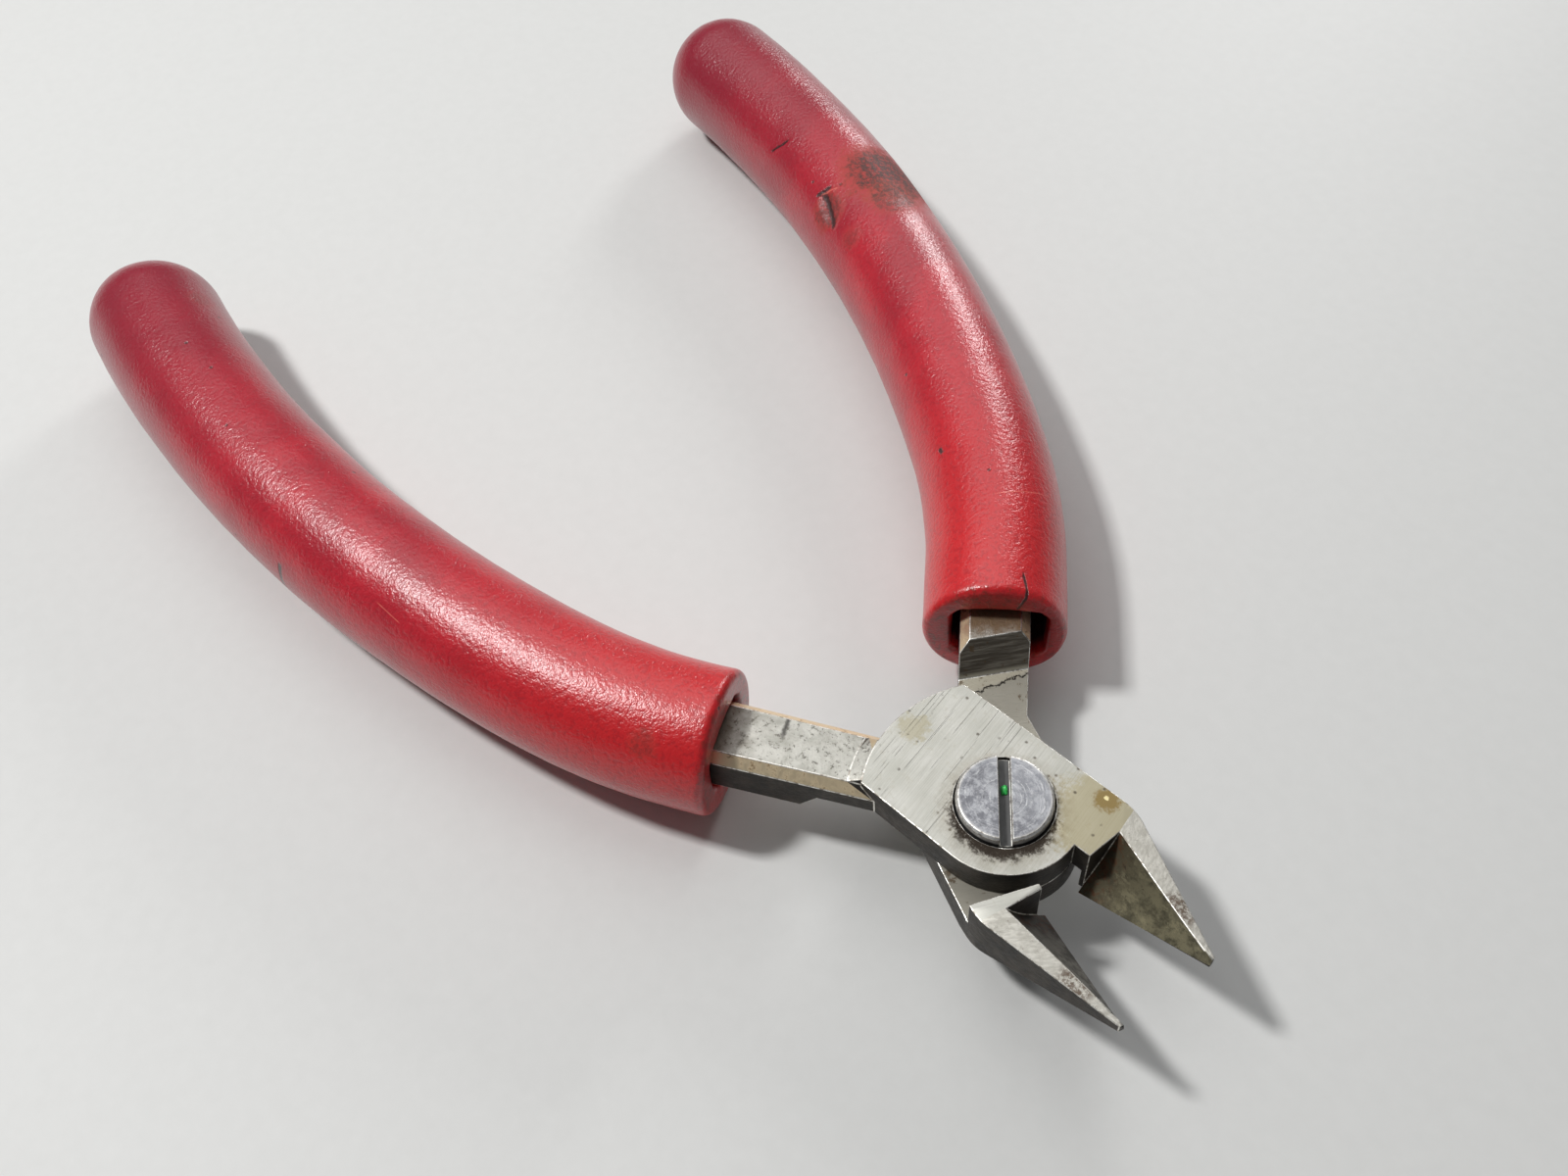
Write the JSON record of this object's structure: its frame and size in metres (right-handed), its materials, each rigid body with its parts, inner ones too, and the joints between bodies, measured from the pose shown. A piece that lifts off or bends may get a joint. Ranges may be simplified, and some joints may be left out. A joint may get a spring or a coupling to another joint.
{
  "type": "small diagonal cutting pliers",
  "caption": "Small hand cutters with hollow-ground diagonal jaws, a half-lap joint on a slotted screw, and bowed handles in dipped plastic sleeves.",
  "frame": {"origin": "on the pivot axis, at the underside of the joint", "axes": "+X from the pivot to the tips of the jaws, halfway between the handles; +Z along the screw, towards its head"},
  "size_m": [0.1071, 0.0746, 0.012],
  "materials": {
    "ground_steel": "ground faces with fine scratches, stained bevels",
    "dipped_plastic": "satin dipped vinyl",
    "screw_steel": "turned, blue-grey",
    "setting_paint": "glossy dab"
  },
  "bodies": {
    "lower_side": {"lower_half": "ground_steel", "lower_grip": "dipped_plastic", "pivot_screw": "screw_steel", "paint_dot": "setting_paint"},
    "upper_side": {"upper_half": "ground_steel", "upper_grip": "dipped_plastic"}
  },
  "joints": [
    {"name": "pivot", "type": "hinge", "parent": "lower_side", "child": "upper_side", "pos_m": [0, 0, 0.0026], "axis": [0, 0, 1], "range_deg": [-24.4, 65]}
  ]
}
